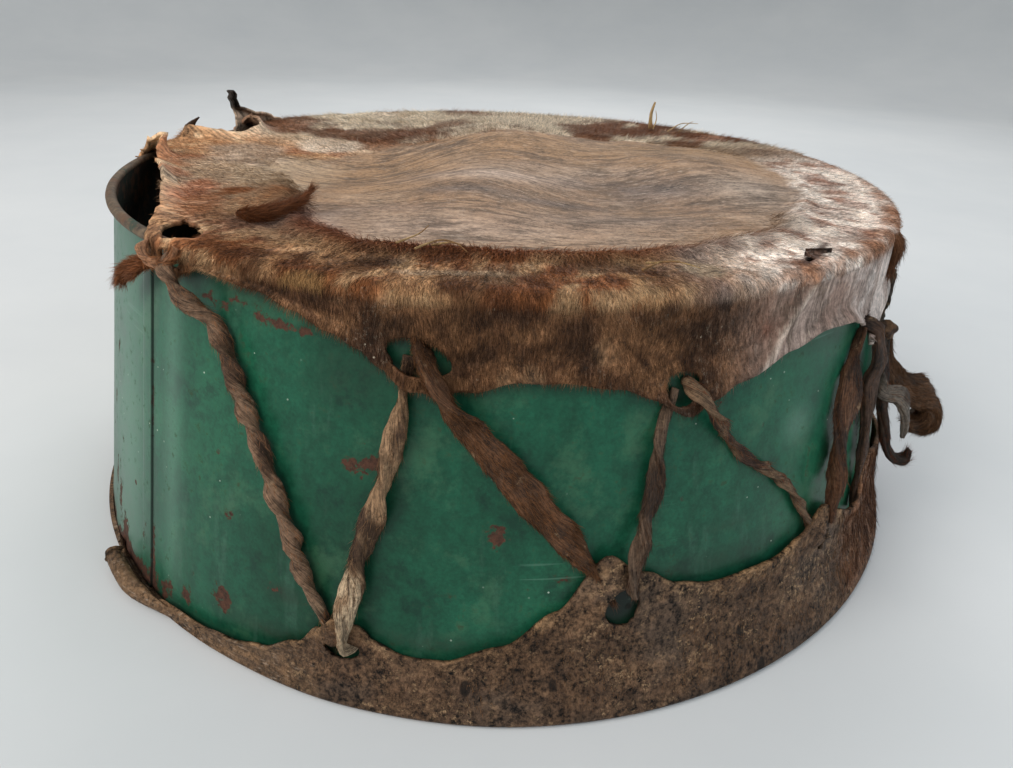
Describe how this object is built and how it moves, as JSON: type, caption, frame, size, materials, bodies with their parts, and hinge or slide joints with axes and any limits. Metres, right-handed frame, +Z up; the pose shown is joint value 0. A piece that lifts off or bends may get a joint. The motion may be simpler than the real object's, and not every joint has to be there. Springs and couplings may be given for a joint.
{
  "type": "drum",
  "caption": "Shallow laced drum: tapered sheet-steel tub shell with a cowhide head over each end, joined by rawhide thongs that zigzag between slotted ears.",
  "frame": {"origin": "middle of the flat face that the drum stands on", "axes": "+Z up along the shell's axis, -Y towards the laced front, +X to the right of it"},
  "size_m": [0.557, 0.5605, 0.2322],
  "materials": {
    "shell_paint": "worn gloss enamel with rust where it is chipped",
    "rusty_wire": "rusted",
    "haired_cowhide": "dried hide with short hair round the rim and a bare middle",
    "dark_cowhide": "dried, scuffed hide with short matted hair",
    "rawhide_thong": "twisted raw strip with hair left on"
  },
  "bodies": {
    "root": {"shell": "shell_paint", "rim_wire": "rusty_wire", "upper_head": "haired_cowhide", "lower_head": "dark_cowhide", "thong_01": "rawhide_thong", "thong_02": "rawhide_thong", "thong_03": "rawhide_thong", "thong_04": "rawhide_thong", "thong_05": "rawhide_thong", "thong_06": "rawhide_thong", "thong_07": "rawhide_thong", "thong_08": "rawhide_thong", "thong_09": "rawhide_thong", "thong_10": "rawhide_thong", "thong_11": "rawhide_thong", "thong_12": "rawhide_thong", "thong_13": "rawhide_thong", "thong_14": "rawhide_thong", "thong_15": "rawhide_thong", "thong_16": "rawhide_thong", "thong_17": "rawhide_thong", "thong_18": "rawhide_thong", "knot": "rawhide_thong", "curled_tail": "rawhide_thong", "hooked_tail": "rawhide_thong", "haired_tail": "rawhide_thong"}
  },
  "joints": []
}
